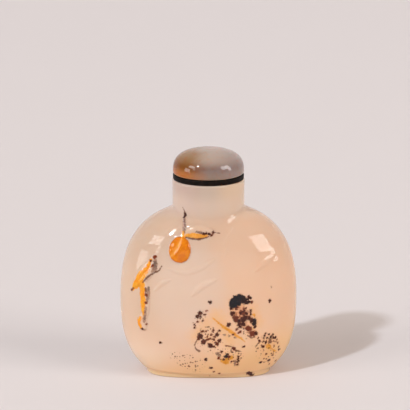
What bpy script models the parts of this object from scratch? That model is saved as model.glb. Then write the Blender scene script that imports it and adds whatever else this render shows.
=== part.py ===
"""Snuff bottle of pale agate, with an oval foot ring, a wide neck and a domed stopper.

The bottle stands on the XY plane with its foot centred on the origin. Its broad front
faces -Y and its width runs along X. A fruit on its stalk, three leaves and a bud stand in
low relief on the front. A black collar lies on the rim, the stopper sits on the collar,
and a short cork under the collar closes the bore.
"""

import math

import bmesh
import bpy
from mathutils import Vector

MM = 0.001

# Space left between two pieces that fit or rest on each other
FIT_GAP = 0.3 * MM

# Body: the widest level, and how far the curves above and below it would run to a point
BODY_WIDTH = 50.2 * MM
BODY_DEPTH = 29.2 * MM
WIDEST_HEIGHT = 21.4 * MM
SHOULDER_REACH = 27.4 * MM
BELLY_REACH = 25.4 * MM
SHOULDER_FULLNESS = 2.54
BELLY_FULLNESS = 2.63
SECTION_FULLNESS = 2.2

# Foot ring
FOOT_WIDTH = 35.4 * MM
FOOT_DEPTH = 20.0 * MM
FOOT_HEIGHT = 1.5 * MM
FOOT_FULLNESS = 2.9
FOOT_RING_WALL = 2.2 * MM
FOOT_RECESS = 1.3 * MM
FOOT_EDGE = 0.25 * MM

# Neck and bore
NECK_DIAMETER = 20.4 * MM
RIM_HEIGHT = 55.9 * MM
RIM_EDGE = 0.4 * MM
NECK_BLEND = 2.4 * MM
BORE_DIAMETER = 8.0 * MM
BORE_EDGE = 0.3 * MM

# Hollow
WALL = 2.6 * MM
FLOOR = 3.0 * MM
HOLLOW_BLEND = 2.0 * MM
HOLLOW_FLOOR_FULLNESS = 3.4

# Collar, stopper and cork
COLLAR_THICKNESS = 0.9 * MM
COLLAR_SETBACK = 0.2 * MM
COLLAR_EDGE = 0.15 * MM
STOPPER_HEIGHT = 7.0 * MM
STOPPER_OVERHANG = 0.05 * MM
STOPPER_FULLNESS = 2.7
STOPPER_EDGE = 0.35 * MM
CORK_LENGTH = 6.5 * MM
CORK_TAPER = 0.5 * MM
CORK_EDGE = 0.3 * MM

# Relief on the front: heights over the body at the middle and at the edge of each form,
# how deep and how broad it is rooted in the wall, and half widths
FRUIT_RELIEF = 0.8 * MM
LEAF_RELIEF = 0.55 * MM
TWIG_RELIEF = 0.6 * MM
RELIEF_EDGE = 0.15 * MM
RELIEF_ROOT = 0.7 * MM
ROOT_SHARE = 0.8
FRUIT_RADIUS = 3.0 * MM
LEAF_HALF_WIDTH = 1.8 * MM
LOWER_LEAF_HALF_WIDTH = 1.3 * MM
STALK_HALF_WIDTH = 0.5 * MM
BUD_HALF_WIDTH = 1.15 * MM

# Facets
SEGMENTS = 60
SEGMENT_CROWDING = 0.75
SHOULDER_RINGS = 19
BELLY_RINGS = 10
HOLLOW_SHOULDER_RINGS = 9
HOLLOW_BELLY_RINGS = 8
TURNED_SEGMENTS = 48
STOPPER_RINGS = 9


def superellipse(share, fullness):
    """Share of the full width that is left at a share of the way to the point."""
    return max(0.0, 1.0 - min(1.0, share) ** fullness) ** (1.0 / fullness)


def rises(reach, fullness, end_share, count):
    """Distances from the widest level, closer together where the curve turns in."""
    end_angle = math.asin(end_share ** (fullness / 2.0))
    angles = [end_angle * step / count for step in range(count + 1)]
    return [reach * math.sin(angle) ** (2.0 / fullness) for angle in angles]


def soft_max(a, b, blend):
    """The larger of two radii, with a soft fillet where they meet."""
    overlap = max(0.0, blend - abs(a - b)) / blend
    return max(a, b) + overlap * overlap * blend / 4.0


def oval_radius(angle, width, depth, fullness=SECTION_FULLNESS):
    """Distance from the centre of an oval section to its outline along one direction."""
    across = abs(2.0 * math.cos(angle) / width) ** fullness
    along = abs(2.0 * math.sin(angle) / depth) ** fullness
    return (across + along) ** (-1.0 / fullness)


def outer_radius(angle, height):
    """Radius of the outside, body and neck together, above the foot ring."""
    rise = height - WIDEST_HEIGHT
    if rise > 0.0:
        share = superellipse(rise / SHOULDER_REACH, SHOULDER_FULLNESS)
    else:
        share = superellipse(-rise / BELLY_REACH, BELLY_FULLNESS)
    body = share * oval_radius(angle, BODY_WIDTH, BODY_DEPTH)
    if rise < 0.0:
        return body
    return soft_max(body, NECK_DIAMETER / 2.0, NECK_BLEND)


def hollow_radius(angle, height):
    """Radius of the hollow, which follows the outside and opens into the bore."""
    rise = height - WIDEST_HEIGHT
    if rise > 0.0:
        share = superellipse(rise / (SHOULDER_REACH - WALL), SHOULDER_FULLNESS)
    else:
        drop = WIDEST_HEIGHT - FOOT_RECESS - FLOOR
        share = superellipse(-rise / drop, HOLLOW_FLOOR_FULLNESS)
    body = share * oval_radius(angle, BODY_WIDTH - 2.0 * WALL, BODY_DEPTH - 2.0 * WALL)
    if rise < 0.0:
        return body
    return soft_max(body, BORE_DIAMETER / 2.0, HOLLOW_BLEND)


def directions():
    """Angles around the bottle, crowded towards its narrow sides."""
    turns = [2.0 * math.pi * step / SEGMENTS for step in range(SEGMENTS)]
    return [math.atan2(SEGMENT_CROWDING * math.sin(t), math.cos(t)) for t in turns]


def level_ring(height, radius_at):
    """Points around the bottle at one height."""
    ring = []
    for angle in directions():
        radius = radius_at(angle)
        ring.append(Vector((radius * math.cos(angle), radius * math.sin(angle), height)))
    return ring


def foot_ring(height, width, depth):
    """Points around the foot's fuller oval at one height."""
    return level_ring(height, lambda angle: oval_radius(angle, width, depth, FOOT_FULLNESS))


def round_ring(height, radius):
    """Points around a circle at one height."""
    return level_ring(height, lambda angle: radius)


def foot_rings():
    """Rings from the recess under the foot, round the ring and up to the body."""
    inner_width = FOOT_WIDTH - 2.0 * FOOT_RING_WALL
    inner_depth = FOOT_DEPTH - 2.0 * FOOT_RING_WALL
    edge = 2.0 * FOOT_EDGE
    return [
        foot_ring(FOOT_RECESS, inner_width - edge, inner_depth - edge),
        foot_ring(FOOT_EDGE, inner_width, inner_depth),
        foot_ring(0.0, inner_width + edge, inner_depth + edge),
        foot_ring(0.0, FOOT_WIDTH - edge, FOOT_DEPTH - edge),
        foot_ring(FOOT_EDGE, FOOT_WIDTH, FOOT_DEPTH),
        foot_ring(FOOT_HEIGHT, FOOT_WIDTH, FOOT_DEPTH),
    ]


def outer_rings():
    """Rings up the outside of the body and the neck, to the rim."""
    belly_end = (WIDEST_HEIGHT - FOOT_HEIGHT) / BELLY_REACH
    drops = rises(BELLY_REACH, BELLY_FULLNESS, belly_end, BELLY_RINGS)
    heights = [WIDEST_HEIGHT - drop for drop in reversed(drops)]
    for rise in rises(SHOULDER_REACH, SHOULDER_FULLNESS, 1.0, SHOULDER_RINGS)[1:]:
        heights.append(WIDEST_HEIGHT + rise)
    rings = [level_ring(z, lambda angle, z=z: outer_radius(angle, z)) for z in heights]
    rings.append(round_ring(RIM_HEIGHT - RIM_EDGE, NECK_DIAMETER / 2.0))
    rings.append(round_ring(RIM_HEIGHT, NECK_DIAMETER / 2.0 - RIM_EDGE))
    return rings


def hollow_rings():
    """Rings from the rim down the bore and the hollow, to its floor."""
    rings = [
        round_ring(RIM_HEIGHT, BORE_DIAMETER / 2.0 + BORE_EDGE),
        round_ring(RIM_HEIGHT - BORE_EDGE, BORE_DIAMETER / 2.0),
    ]
    reach = SHOULDER_REACH - WALL
    ups = rises(reach, SHOULDER_FULLNESS, 1.0, HOLLOW_SHOULDER_RINGS)
    drop = WIDEST_HEIGHT - FOOT_RECESS - FLOOR
    downs = rises(drop, HOLLOW_FLOOR_FULLNESS, 0.999, HOLLOW_BELLY_RINGS)
    heights = [WIDEST_HEIGHT + rise for rise in reversed(ups)]
    heights += [WIDEST_HEIGHT - fall for fall in downs[1:]]
    rings += [level_ring(z, lambda angle, z=z: hollow_radius(angle, z)) for z in heights]
    return rings


def loft(name, rings):
    """Closed mesh of flat triangles through rings of as many points, with both ends capped."""
    bm = bmesh.new()
    loops = [[bm.verts.new(point) for point in ring] for ring in rings]
    for below, above in zip(loops, loops[1:]):
        for index in range(len(below)):
            after = (index + 1) % len(below)
            bm.faces.new((below[index], below[after], above[after], above[index]))
    bm.faces.new(list(reversed(loops[0])))
    bm.faces.new(loops[-1])
    bmesh.ops.recalc_face_normals(bm, faces=bm.faces)
    bmesh.ops.triangulate(bm, faces=bm.faces)
    mesh = bpy.data.meshes.new(name)
    bm.to_mesh(mesh)
    bm.free()
    return place(name, mesh)


def place(name, mesh):
    """New object for a mesh, linked to the scene."""
    obj = bpy.data.objects.new(name, mesh)
    bpy.context.scene.collection.objects.link(obj)
    return obj


def shade_round(obj):
    """Smooth shading that keeps the real edges crisp."""
    obj.data.shade_smooth()
    obj.data.set_sharp_from_angle(angle=math.radians(35.0))


def turned(name, profile):
    """Piece turned about the Z axis from its profile, listed from the top downwards."""
    mesh = bpy.data.meshes.new(name)
    points = [(radius, 0.0, height) for radius, height in profile]
    edges = [(index, index + 1) for index in range(len(points) - 1)]
    mesh.from_pydata(points, edges, [])
    obj = place(name, mesh)
    screw = obj.modifiers.new("Turn", "SCREW")
    screw.steps = TURNED_SEGMENTS
    screw.render_steps = TURNED_SEGMENTS
    screw.use_merge_vertices = True
    screw.merge_threshold = 0.00001
    screw.use_smooth_shade = True
    return obj


def material(name, colour, roughness):
    """Plain non-metal material."""
    mat = bpy.data.materials.new(name)
    mat.use_nodes = True
    shader = mat.node_tree.nodes["Principled BSDF"]
    shader.inputs["Base Color"].default_value = (*colour, 1.0)
    shader.inputs["Roughness"].default_value = roughness
    shader.inputs["Metallic"].default_value = 0.0
    mat.diffuse_color = (*colour, 1.0)
    return mat


def front_point(x, z):
    """Point on the front of the outside, seen straight from the front at x and z."""
    near, far = 0.0, BODY_DEPTH
    for _ in range(40):
        y = (near + far) / 2.0
        if math.hypot(x, y) < outer_radius(math.atan2(-y, x), z):
            near = y
        else:
            far = y
    return Vector((x, -near, z))


def front_point_lifted(x, z, lift):
    """Point over the front of the outside, along the surface's own normal."""
    step = 0.05 * MM
    point = front_point(x, z)
    across = front_point(x + step, z) - front_point(x - step, z)
    upward = front_point(x, z + step) - front_point(x, z - step)
    return point + across.cross(upward).normalized() * lift


def path_point(points, share):
    """Point on a smooth curve through the given points, and its direction."""
    span = share * (len(points) - 1)
    index = min(int(span), len(points) - 2)
    t = span - index
    a = points[max(index - 1, 0)]
    b = points[index]
    c = points[index + 1]
    d = points[min(index + 2, len(points) - 1)]
    leave = (c - a) / 2.0
    arrive = (d - b) / 2.0
    point = (
        b * (2 * t**3 - 3 * t**2 + 1)
        + leave * (t**3 - 2 * t**2 + t)
        + c * (3 * t**2 - 2 * t**3)
        + arrive * (t**3 - t**2)
    )
    heading = (
        b * (6 * t**2 - 6 * t)
        + leave * (3 * t**2 - 4 * t + 1)
        + c * (6 * t - 6 * t**2)
        + arrive * (3 * t**2 - 2 * t)
    )
    return point, heading.normalized()


def raised_form(name, spine, half_width, swell, relief, steps, lanes):
    """Closed form that lies along a spine on the front and is rooted in the wall.

    The spine is listed as shares of half the body's width and of the rim's height.
    half_width and swell give the form's size at a share of its length, swell also at a
    share of its width, from -1 to 1.
    """
    points = [Vector((x * BODY_WIDTH / 2.0, z * RIM_HEIGHT)) for x, z in spine]
    rings = []
    for step in range(steps + 1):
        share = step / steps
        centre, heading = path_point(points, share)
        side = Vector((-heading.y, heading.x)) * half_width(share)
        ring = []
        for lane in range(lanes + 1):
            place_across = 2.0 * lane / lanes - 1.0
            spot = centre + side * place_across
            lift = RELIEF_EDGE + (relief - RELIEF_EDGE) * swell(share, place_across)
            ring.append(front_point_lifted(spot.x, spot.y, lift))
        for place_across in (ROOT_SHARE, -ROOT_SHARE):
            spot = centre + side * place_across
            ring.append(front_point_lifted(spot.x, spot.y, -RELIEF_ROOT))
        rings.append(ring)
    return loft(name, rings)


def dome(across):
    """Rounded back of a raised form, falling to nothing at its two sides."""
    return math.sqrt(max(0.0, 1.0 - across * across))


def swelling(share, fullness):
    """Width or height along a form that closes at both ends."""
    return superellipse(abs(2.0 * share - 1.0), fullness)


def fruit():
    """Round fruit with a cleft from its stalk that curves out to its lower left."""
    least_half_width = 0.35 * MM
    cleft_depth = 0.34
    cleft_width = 0.17
    cleft_start = 0.22
    cleft_sweep = 1.4

    def half_width(share):
        return max(least_half_width, FRUIT_RADIUS * swelling(share, 2.0))

    def swell(share, across):
        rounded = dome(across) * max(0.25, swelling(share, 2.4))
        off_cleft = (across + cleft_start + cleft_sweep * share ** 4) / cleft_width
        return rounded - cleft_depth * math.exp(-(off_cleft ** 2)) * dome(across)

    spine = ((-0.284, 0.742), (-0.300, 0.712), (-0.318, 0.680), (-0.336, 0.650), (-0.352, 0.624))
    return raised_form("fruit", spine, half_width, swell, FRUIT_RELIEF, steps=12, lanes=12)


def leaf(name, spine, half, broadest):
    """Long leaf with a groove for its midrib, from its stem to its tip.

    broadest is below 1 for a leaf that is broadest near its stem.
    """
    least_half_width = 0.2 * MM
    midrib_depth = 0.45
    midrib_width = 0.22

    def half_width(share):
        return max(least_half_width, half * math.sin(math.pi * share ** broadest) ** 0.8)

    def swell(share, across):
        midrib = midrib_depth * math.exp(-((across / midrib_width) ** 2))
        return (dome(across) - midrib) * max(0.3, swelling(share, 2.5))

    return raised_form(name, spine, half_width, swell, LEAF_RELIEF, steps=12, lanes=6)


def leaves():
    """The leaf beside the fruit and the two that hang one below the other on the left."""
    beside = ((-0.279, 0.755), (-0.179, 0.766), (-0.048, 0.769), (0.072, 0.766))
    upper = ((-0.590, 0.648), (-0.655, 0.590), (-0.742, 0.533), (-0.846, 0.472))
    lower = ((-0.733, 0.517), (-0.711, 0.469), (-0.711, 0.417), (-0.705, 0.354), (-0.697, 0.329))
    return [
        leaf("leaf_beside_fruit", beside, LEAF_HALF_WIDTH, 0.95),
        leaf("upper_side_leaf", upper, LEAF_HALF_WIDTH, 1.0),
        leaf("lower_side_leaf", lower, LOWER_LEAF_HALF_WIDTH, 0.75),
    ]


def stalk():
    """Stalk that rises from the fruit, with a bud near its end at the foot of the neck."""
    bud_place = 0.8
    bud_length = 0.13
    bud_swell = 0.5
    thin_end = 0.5

    def half_width(share):
        bud = bud_swell * math.exp(-(((share - bud_place) / bud_length) ** 2))
        return STALK_HALF_WIDTH * (0.8 + bud - thin_end * share ** 6)

    def swell(share, across):
        return dome(across) * (1.0 - thin_end * share ** 4)

    spine = ((-0.283, 0.732), (-0.281, 0.765), (-0.272, 0.795), (-0.268, 0.820), (-0.252, 0.842))
    return raised_form("stalk", spine, half_width, swell, TWIG_RELIEF, steps=10, lanes=4)


def side_bud():
    """Plump bud under the lower side leaf."""
    blunt_end = 0.25
    low_end = 0.4

    def half_width(share):
        return BUD_HALF_WIDTH * (blunt_end + (1.0 - blunt_end) * swelling(share, 2.2))

    def swell(share, across):
        return dome(across) * (low_end + (1.0 - low_end) * swelling(share, 2.5))

    spine = ((-0.721, 0.338), (-0.745, 0.299), (-0.725, 0.259))
    return raised_form("side_bud", spine, half_width, swell, TWIG_RELIEF, steps=8, lanes=4)


def carve(obj, form):
    """Joins one raised form to the body."""
    form.hide_render = True
    form.display_type = "WIRE"
    union = obj.modifiers.new(form.name, "BOOLEAN")
    union.operation = "UNION"
    union.solver = "EXACT"
    union.object = form


def make_bottle():
    """Hollow bottle, carved from one stone with its foot ring, neck and relief."""
    obj = loft("bottle", foot_rings() + outer_rings() + hollow_rings())
    shade_round(obj)
    obj.data.materials.append(material("pale_agate", (0.80, 0.58, 0.42), 0.15))
    for form in [fruit(), stalk(), side_bud(), *leaves()]:
        carve(obj, form)
    return obj


def make_collar():
    """Thin black disc that lies on the rim."""
    bottom = RIM_HEIGHT + FIT_GAP
    top = bottom + COLLAR_THICKNESS
    radius = NECK_DIAMETER / 2.0 - COLLAR_SETBACK
    obj = turned("collar", [
        (0.0, top),
        (radius - COLLAR_EDGE, top),
        (radius, top - COLLAR_EDGE),
        (radius, bottom + COLLAR_EDGE),
        (radius - COLLAR_EDGE, bottom),
        (0.0, bottom),
    ])
    obj.data.materials.append(material("black_horn", (0.012, 0.009, 0.007), 0.3))
    return obj


def make_stopper():
    """Domed agate cap that sits on the collar."""
    base = RIM_HEIGHT + COLLAR_THICKNESS + 2.0 * FIT_GAP
    radius = NECK_DIAMETER / 2.0 - COLLAR_SETBACK + STOPPER_OVERHANG
    dome_base = base + STOPPER_EDGE
    dome_height = STOPPER_HEIGHT - STOPPER_EDGE
    profile = []
    for step in range(STOPPER_RINGS + 1):
        angle = math.pi / 2.0 * (1.0 - step / STOPPER_RINGS)
        out = radius * math.cos(angle) ** (2.0 / STOPPER_FULLNESS)
        up = dome_height * math.sin(angle) ** (2.0 / STOPPER_FULLNESS)
        profile.append((out if step else 0.0, dome_base + up))
    profile.append((radius - STOPPER_EDGE, base))
    profile.append((0.0, base))
    obj = turned("stopper", profile)
    obj.data.materials.append(material("banded_agate", (0.36, 0.25, 0.18), 0.12))
    return obj


def make_cork():
    """Tapered cork that hangs under the collar and closes the bore."""
    top = RIM_HEIGHT
    bottom = top - CORK_LENGTH
    radius = BORE_DIAMETER / 2.0 - FIT_GAP
    obj = turned("cork", [
        (0.0, top),
        (radius, top),
        (radius - CORK_TAPER, bottom + CORK_EDGE),
        (radius - CORK_TAPER - CORK_EDGE, bottom),
        (0.0, bottom),
    ])
    obj.data.materials.append(material("cork", (0.45, 0.27, 0.13), 0.9))
    return obj


def main():
    """Clears the scene and makes the four pieces."""
    for obj in list(bpy.data.objects):
        bpy.data.objects.remove(obj, do_unlink=True)
    make_bottle()
    make_collar()
    make_stopper()
    make_cork()


main()
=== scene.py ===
"""Looks of the snuff bottle: pale agate with coloured relief, black collar and agate stopper.

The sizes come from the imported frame. The bottle is lofted again from the same curves as its
solid, with many more points, so that the carving and the coloured inclusions show finely.
"""

import math

import bmesh
import bpy
import numpy as np
from bpy.props import FloatProperty, FloatVectorProperty, PointerProperty
from bpy.types import Operator, Panel, PropertyGroup
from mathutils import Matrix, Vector, noise


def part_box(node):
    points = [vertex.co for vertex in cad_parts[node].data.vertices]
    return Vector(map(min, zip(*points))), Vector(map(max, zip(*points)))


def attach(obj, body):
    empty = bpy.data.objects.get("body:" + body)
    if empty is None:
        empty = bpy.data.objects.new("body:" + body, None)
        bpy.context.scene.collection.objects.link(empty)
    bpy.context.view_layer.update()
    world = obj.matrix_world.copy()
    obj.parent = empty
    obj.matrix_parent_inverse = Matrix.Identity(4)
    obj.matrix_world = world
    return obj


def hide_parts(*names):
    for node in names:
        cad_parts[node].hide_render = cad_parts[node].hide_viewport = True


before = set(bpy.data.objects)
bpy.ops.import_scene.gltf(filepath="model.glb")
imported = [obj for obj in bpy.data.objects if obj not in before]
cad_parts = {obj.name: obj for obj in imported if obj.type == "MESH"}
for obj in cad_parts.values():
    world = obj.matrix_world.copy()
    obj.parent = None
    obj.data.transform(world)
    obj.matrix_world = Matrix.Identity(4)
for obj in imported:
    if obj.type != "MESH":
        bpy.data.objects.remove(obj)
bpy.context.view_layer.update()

bl_info = {
    "name": "Agate Snuff Bottle Looks",
    "version": (1, 0, 0),
    "blender": (4, 5, 0),
    "location": "View3D > Sidebar > Snuff Bottle",
    "description": "Dresses the snuff bottle's frame in agate, horn and cork, and sets its stage",
    "category": "Object",
}

MM = 0.001

BOTTLE_LOW, BOTTLE_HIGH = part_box("bottle")
COLLAR_LOW, COLLAR_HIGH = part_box("collar")
STOPPER_LOW, STOPPER_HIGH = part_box("stopper")

# Body, as the solid has it
BODY_WIDTH = BOTTLE_HIGH.x - BOTTLE_LOW.x
BODY_DEPTH = 2.0 * BOTTLE_HIGH.y
RIM_HEIGHT = BOTTLE_HIGH.z
WIDEST_HEIGHT = 21.4 * MM
SHOULDER_REACH = 27.4 * MM
BELLY_REACH = 25.4 * MM
SHOULDER_FULLNESS = 2.54
BELLY_FULLNESS = 2.63
SECTION_FULLNESS = 2.2

# Foot ring
FOOT_WIDTH = 35.4 * MM
FOOT_DEPTH = 20.0 * MM
FOOT_HEIGHT = 1.5 * MM
FOOT_FULLNESS = 2.9
FOOT_RING_WALL = 2.2 * MM
FOOT_RECESS = 1.3 * MM
FOOT_EDGE = 0.25 * MM

# Neck, bore and hollow
COLLAR_SETBACK = 0.2 * MM
NECK_DIAMETER = COLLAR_HIGH.x - COLLAR_LOW.x + 2.0 * COLLAR_SETBACK
RIM_EDGE = 0.4 * MM
NECK_BLEND = 2.4 * MM
BORE_DIAMETER = 8.0 * MM
BORE_EDGE = 0.3 * MM
WALL = 2.6 * MM
FLOOR = 3.0 * MM
HOLLOW_BLEND = 2.0 * MM
HOLLOW_FLOOR_FULLNESS = 3.4

# Relief heights over the body, and how each form rises and rounds off at its edge
FRUIT_RELIEF = 0.8 * MM
LEAF_RELIEF = 0.55 * MM
TWIG_RELIEF = 0.6 * MM
FAINT_RELIEF = 0.16 * MM
RELIEF_EDGE = 0.15 * MM
EDGE_ROUNDING = 0.13 * MM

# Half widths of the carved forms
FRUIT_RADIUS = 3.0 * MM
LEAF_HALF_WIDTH = 1.8 * MM
LOWER_LEAF_HALF_WIDTH = 1.3 * MM
STALK_HALF_WIDTH = 0.5 * MM
BUD_HALF_WIDTH = 1.15 * MM

# Cleft of the fruit, as shares of its half width
CLEFT_WIDTH = 0.17
CLEFT_START = 0.22
CLEFT_SWEEP = 1.4

# Pale line along the cleft, as a share of the cleft's width
CLEFT_LINE = 0.7

# Unevenness that hand polishing leaves
POLISH_LENGTH = 9.0 * MM
POLISH_DEPTH = 0.03 * MM
EVEN_FOOT_ROWS = 4
EVEN_RIM_ROWS = 8

# Collar and stopper, with softer edges than their solids
COLLAR_GAP = 0.02 * MM
COLLAR_EDGE = 0.3 * MM
STOPPER_EDGE = 0.7 * MM
STOPPER_FULLNESS = 2.7
TURNED_STEPS = 160

# Mesh of the bottle
COLUMNS = 300
BACK_DENSITY = 0.32
BODY_RINGS = 218
NECK_RINGS = 16
HOLLOW_RINGS = 44
SPINE_STEPS = 90
FINE_STEPS = 4000

# Distance in millimetres that the fields of colour hold away from their colour
FAR_OUTSIDE = -4.0


def srgb(red, green, blue):
    """Linear colour from 0 to 255 steps on a screen."""
    values = [channel / 255.0 for channel in (red, green, blue)]
    return tuple(v / 12.92 if v <= 0.04045 else ((v + 0.055) / 1.055) ** 2.4 for v in values)


# Curves of the body

def superellipse(share, fullness):
    """Share of the full width that is left at a share of the way to the point."""
    return np.maximum(0.0, 1.0 - np.minimum(1.0, share) ** fullness) ** (1.0 / fullness)


def soft_max(a, b, blend):
    """The larger of two radii, with a soft fillet where they meet."""
    overlap = np.maximum(0.0, blend - np.abs(a - b)) / blend
    return np.maximum(a, b) + overlap * overlap * blend / 4.0


def oval_radius(angle, width, depth, fullness=SECTION_FULLNESS):
    """Distance from the centre of an oval section to its outline along one direction."""
    across = np.abs(2.0 * np.cos(angle) / width) ** fullness
    along = np.abs(2.0 * np.sin(angle) / depth) ** fullness
    return (across + along) ** (-1.0 / fullness)


def body_share(rise, shoulder, belly, belly_fullness):
    """Share of the widest section that is left at a height over or under it."""
    above = superellipse(np.maximum(rise, 0.0) / shoulder, SHOULDER_FULLNESS)
    below = superellipse(np.maximum(-rise, 0.0) / belly, belly_fullness)
    return np.where(rise > 0.0, above, below)


def outer_radius(angle, height):
    """Radius of the outside, body and neck together, above the foot ring."""
    rise = height - WIDEST_HEIGHT
    share = body_share(rise, SHOULDER_REACH, BELLY_REACH, BELLY_FULLNESS)
    body = share * oval_radius(angle, BODY_WIDTH, BODY_DEPTH)
    return np.where(rise < 0.0, body, soft_max(body, NECK_DIAMETER / 2.0, NECK_BLEND))


def hollow_radius(angle, height):
    """Radius of the hollow, which follows the outside and opens into the bore."""
    rise = height - WIDEST_HEIGHT
    drop = WIDEST_HEIGHT - FOOT_RECESS - FLOOR
    share = body_share(rise, SHOULDER_REACH - WALL, drop, HOLLOW_FLOOR_FULLNESS)
    body = share * oval_radius(angle, BODY_WIDTH - 2.0 * WALL, BODY_DEPTH - 2.0 * WALL)
    return np.where(rise < 0.0, body, soft_max(body, BORE_DIAMETER / 2.0, HOLLOW_BLEND))


def skin_radius(angle, height):
    """Radius of the outside at any height, the foot ring too."""
    foot = oval_radius(angle, FOOT_WIDTH, FOOT_DEPTH, FOOT_FULLNESS)
    return np.where(height < FOOT_HEIGHT, foot, outer_radius(angle, height))


def front_points(places):
    """Points on the front of the outside, seen straight from the front at (x, z) places."""
    places = np.atleast_2d(np.asarray(places, float))
    x, z = places[:, 0], places[:, 1]
    near = np.zeros(len(places))
    far = np.full(len(places), BODY_DEPTH)
    for _ in range(40):
        y = (near + far) / 2.0
        inside = np.hypot(x, y) < skin_radius(np.arctan2(-y, x), z)
        near = np.where(inside, y, near)
        far = np.where(inside, far, y)
    return np.stack([x, -near, z], axis=1)


def smooth_step(value, low, high):
    """Rises smoothly from 0 at low to 1 at high."""
    share = np.clip((value - low) / (high - low), 0.0, 1.0)
    return share * share * (3.0 - 2.0 * share)


# Carved forms

def path_points(points, shares):
    """Points on a smooth curve through the given points, and its directions."""
    points = np.asarray(points, float)
    span = np.clip(shares, 0.0, 1.0) * (len(points) - 1)
    index = np.minimum(span.astype(int), len(points) - 2)
    t = (span - index)[:, None]
    a = points[np.maximum(index - 1, 0)]
    b = points[index]
    c = points[index + 1]
    d = points[np.minimum(index + 2, len(points) - 1)]
    leave = (c - a) / 2.0
    arrive = (d - b) / 2.0
    places = (
        b * (2 * t**3 - 3 * t**2 + 1)
        + leave * (t**3 - 2 * t**2 + t)
        + c * (3 * t**2 - 2 * t**3)
        + arrive * (t**3 - t**2)
    )
    heading = (
        b * (6 * t**2 - 6 * t)
        + leave * (3 * t**2 - 4 * t + 1)
        + c * (6 * t - 6 * t**2)
        + arrive * (3 * t**2 - 2 * t)
    )
    return places, heading / np.linalg.norm(heading, axis=1)[:, None]


def dome(across):
    """Rounded back of a raised form, falling to nothing at its two sides."""
    return np.sqrt(np.maximum(0.0, 1.0 - across * across))


def swelling(share, fullness):
    """Width or height along a form that closes at both ends."""
    return superellipse(np.abs(2.0 * share - 1.0), fullness)


class Form:
    """One raised form: a spine on the front, its half width, its swell and its height."""

    def __init__(self, spine, half_width, swell, relief, edge=RELIEF_EDGE, rounding=EDGE_ROUNDING):
        self.spine = np.array([(x * BODY_WIDTH / 2.0, z * RIM_HEIGHT) for x, z in spine])
        self.half_width = half_width
        self.swell = swell
        self.relief = relief
        self.edge = edge
        self.rounding = rounding

    def measure(self, places):
        """Height over the body and distance inside the form's edge, at (x, z) places."""
        shares = np.linspace(0.0, 1.0, SPINE_STEPS + 1)
        centres, headings = path_points(self.spine, shares)
        widths = self.half_width(shares)
        reach = widths.max() + 3.0 * self.rounding
        low = centres.min(axis=0) - reach
        high = centres.max(axis=0) + reach
        near = np.flatnonzero(np.all((places > low) & (places < high), axis=1))
        height = np.zeros(len(places))
        inside = np.full(len(places), -1.0)
        offsets = places[near][:, None, :] - centres[None, :, :]
        step = np.linalg.norm(offsets, axis=2).argmin(axis=1)
        offset = offsets[np.arange(len(near)), step]
        heading = headings[step]
        side = heading[:, 0] * offset[:, 1] - heading[:, 1] * offset[:, 0]
        beyond = np.abs((heading * offset).sum(axis=1)) * ((step == 0) | (step == SPINE_STEPS))
        across = np.clip(side / widths[step], -1.0, 1.0)
        taper = np.gradient(widths, shares * np.linalg.norm(self.spine[-1] - self.spine[0]))
        inside[near] = (widths[step] - np.abs(side)) / np.sqrt(1.0 + taper[step] ** 2) - beyond
        lift = self.edge + (self.relief - self.edge) * self.swell(shares[step], across)
        height[near] = lift * smooth_step(inside[near], -self.rounding, self.rounding)
        share_along = np.zeros(len(places))
        share_along[near] = shares[step]
        share_across = np.ones(len(places))
        share_across[near] = across
        return height, inside, share_along, share_across


def from_cleft(share, across):
    """How far a place on the fruit lies to the right of its cleft."""
    return across + CLEFT_START + CLEFT_SWEEP * share**4


def fruit():
    """Round fruit with a cleft from its stalk that curves out to its lower left."""
    least_half_width = 0.35 * MM
    cleft_depth = 0.34

    def half_width(share):
        return np.maximum(least_half_width, FRUIT_RADIUS * swelling(share, 2.0))

    def swell(share, across):
        rounded = dome(across) * np.maximum(0.25, swelling(share, 2.4))
        off_cleft = from_cleft(share, across) / CLEFT_WIDTH
        return rounded - cleft_depth * np.exp(-(off_cleft**2)) * dome(across)

    spine = ((-0.284, 0.742), (-0.300, 0.712), (-0.318, 0.680), (-0.336, 0.650), (-0.352, 0.624))
    return Form(spine, half_width, swell, FRUIT_RELIEF)


def leaf(spine, half, broadest, relief=LEAF_RELIEF):
    """Long leaf with a groove for its midrib, from its stem to its tip.

    broadest is below 1 for a leaf that is broadest near its stem.
    """
    least_half_width = 0.2 * MM
    midrib_depth = 0.45
    midrib_width = 0.22

    def half_width(share):
        wave = np.maximum(0.0, np.sin(np.pi * share**broadest))
        return np.maximum(least_half_width, half * wave**0.8)

    def swell(share, across):
        midrib = midrib_depth * np.exp(-((across / midrib_width) ** 2))
        return (dome(across) - midrib) * np.maximum(0.3, swelling(share, 2.5))

    return Form(spine, half_width, swell, relief)


def stalk():
    """Stalk that rises from the fruit, with a bud near its end at the foot of the neck."""
    bud_place = 0.8
    bud_length = 0.13
    bud_swell = 0.5
    thin_end = 0.5

    def half_width(share):
        bud = bud_swell * np.exp(-(((share - bud_place) / bud_length) ** 2))
        return STALK_HALF_WIDTH * (0.8 + bud - thin_end * share**6)

    def swell(share, across):
        return dome(across) * (1.0 - thin_end * share**4)

    spine = ((-0.283, 0.732), (-0.281, 0.765), (-0.272, 0.795), (-0.268, 0.820), (-0.252, 0.842))
    return Form(spine, half_width, swell, TWIG_RELIEF)


def side_bud():
    """Plump bud under the lower side leaf."""
    blunt_end = 0.25
    low_end = 0.4

    def half_width(share):
        return BUD_HALF_WIDTH * (blunt_end + (1.0 - blunt_end) * swelling(share, 2.2))

    def swell(share, across):
        return dome(across) * (low_end + (1.0 - low_end) * swelling(share, 2.5))

    spine = ((-0.721, 0.338), (-0.745, 0.299), (-0.725, 0.259))
    return Form(spine, half_width, swell, TWIG_RELIEF)


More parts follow.
